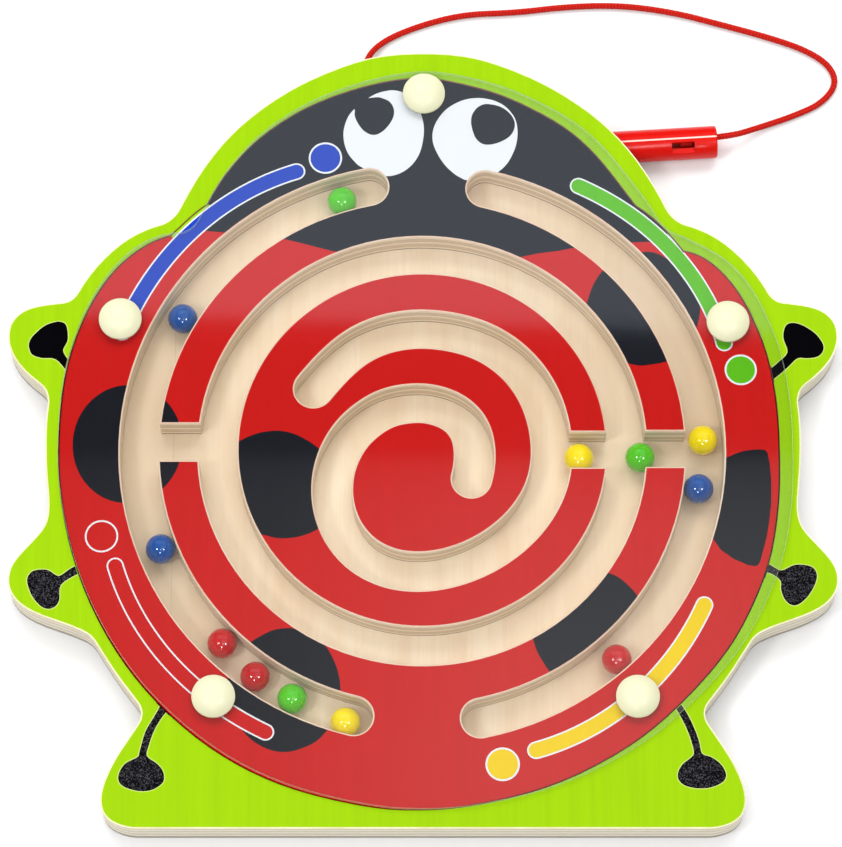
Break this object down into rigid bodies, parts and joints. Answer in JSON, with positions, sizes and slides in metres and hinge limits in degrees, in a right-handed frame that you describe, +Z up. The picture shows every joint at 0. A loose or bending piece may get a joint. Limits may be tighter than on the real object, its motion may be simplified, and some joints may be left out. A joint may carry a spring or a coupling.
{
  "type": "magnetic wand ball maze",
  "caption": "Flat ladybird-shaped wooden ball maze with ring and spiral tracks under a clear cover, coloured balls, capped screws and a stored magnetic wand on a cord.",
  "frame": {"origin": "middle of the board's outline, on the table plane under the back plate", "axes": "+X along the board's longer side, to the ladybird's left as seen from above with its head away; +Y from its foot to its head; +Z up through the clear cover"},
  "size_m": [0.2961, 0.3091, 0.0214],
  "materials": {
    "birch_ply": "satin",
    "painted_frame": "painted gloss with bare edges",
    "printed_panel": "printed gloss with bare edges",
    "clear_acrylic": "clear polished",
    "zinc_steel": "zinc plated",
    "cream_plastic": "satin",
    "red_cord": "braided",
    "red_plastic": "gloss",
    "magnet": "matt",
    "ball_blue": "gloss enamel",
    "ball_green": "gloss enamel",
    "ball_yellow": "gloss enamel",
    "ball_red": "gloss enamel"
  },
  "bodies": {
    "board": {"back_plate": "birch_ply", "board_frame": "painted_frame", "maze_panel": "printed_panel", "spiral_island": "printed_panel", "clear_cover": "clear_acrylic", "screw_top": "zinc_steel", "screw_left": "zinc_steel", "screw_right": "zinc_steel", "screw_lower_left": "zinc_steel", "screw_lower_right": "zinc_steel", "cap_top": "cream_plastic", "cap_left": "cream_plastic", "cap_right": "cream_plastic", "cap_lower_left": "cream_plastic", "cap_lower_right": "cream_plastic", "board_knot": "red_cord", "wand_cord": "red_cord"},
    "wand": {"wand_shell_front": "red_plastic", "wand_shell_back": "red_plastic", "wand_nose": "red_plastic", "wand_magnet": "magnet", "wand_knot": "red_cord"},
    "ball_green_a": {"ball_green_a": "ball_green"},
    "ball_blue_a": {"ball_blue_a": "ball_blue"},
    "ball_blue_b": {"ball_blue_b": "ball_blue"},
    "ball_red_a": {"ball_red_a": "ball_red"},
    "ball_red_b": {"ball_red_b": "ball_red"},
    "ball_green_b": {"ball_green_b": "ball_green"},
    "ball_yellow_a": {"ball_yellow_a": "ball_yellow"},
    "ball_red_c": {"ball_red_c": "ball_red"},
    "ball_blue_c": {"ball_blue_c": "ball_blue"},
    "ball_yellow_b": {"ball_yellow_b": "ball_yellow"},
    "ball_green_c": {"ball_green_c": "ball_green"},
    "ball_yellow_c": {"ball_yellow_c": "ball_yellow"}
  },
  "joints": [
    {"name": "wand_pull", "type": "slide", "parent": "board", "child": "wand", "axis": [0.9981, 0.0619, 0], "range_m": [0, 0.056], "deforming": ["wand_cord"]},
    {"name": "roll_green_a", "type": "hinge", "parent": "board", "child": "ball_green_a", "pos_m": [-0.0003, -0.0064, 0.008], "axis": [0, 0, 1], "range_deg": [-5.4, 17.8]},
    {"name": "roll_blue_a", "type": "hinge", "parent": "board", "child": "ball_blue_a", "pos_m": [-0.0003, -0.0064, 0.008], "axis": [0, 0, 1], "range_deg": [-17.7, 22.1]},
    {"name": "roll_blue_b", "type": "hinge", "parent": "board", "child": "ball_blue_b", "pos_m": [-0.0003, -0.0064, 0.008], "axis": [0, 0, 1], "range_deg": [-22.3, 13.2]},
    {"name": "roll_red_a", "type": "hinge", "parent": "board", "child": "ball_red_a", "pos_m": [-0.0003, -0.0064, 0.008], "axis": [0, 0, 1], "range_deg": [-3.7, 1.2]},
    {"name": "roll_red_b", "type": "hinge", "parent": "board", "child": "ball_red_b", "pos_m": [-0.0003, -0.0064, 0.008], "axis": [0, 0, 1], "range_deg": [-1.5, 0.9]},
    {"name": "roll_green_b", "type": "hinge", "parent": "board", "child": "ball_green_b", "pos_m": [-0.0003, -0.0064, 0.008], "axis": [0, 0, 1], "range_deg": [-1, 2.3]},
    {"name": "roll_yellow_a", "type": "hinge", "parent": "board", "child": "ball_yellow_a", "pos_m": [-0.0003, -0.0064, 0.008], "axis": [0, 0, 1], "range_deg": [-2.4, 1.2]},
    {"name": "roll_red_c", "type": "hinge", "parent": "board", "child": "ball_red_c", "pos_m": [-0.0003, -0.0064, 0.008], "axis": [0, 0, 1], "range_deg": [-29.5, 16.5]},
    {"name": "roll_blue_c", "type": "hinge", "parent": "board", "child": "ball_blue_c", "pos_m": [-0.0003, -0.0064, 0.008], "axis": [0, 0, 1], "range_deg": [-16.8, 1.6]},
    {"name": "roll_yellow_b", "type": "hinge", "parent": "board", "child": "ball_yellow_b", "pos_m": [-0.0003, -0.0064, 0.008], "axis": [0, 0, 1], "range_deg": [-1.8, 73.2]},
    {"name": "roll_green_c", "type": "slide", "parent": "board", "child": "ball_green_c", "axis": [1, 0, 0], "range_m": [-0.0045, 0.011]},
    {"name": "roll_yellow_c", "type": "slide", "parent": "board", "child": "ball_yellow_c", "axis": [1, 0, 0], "range_m": [-0.0105, 0.0055]}
  ]
}
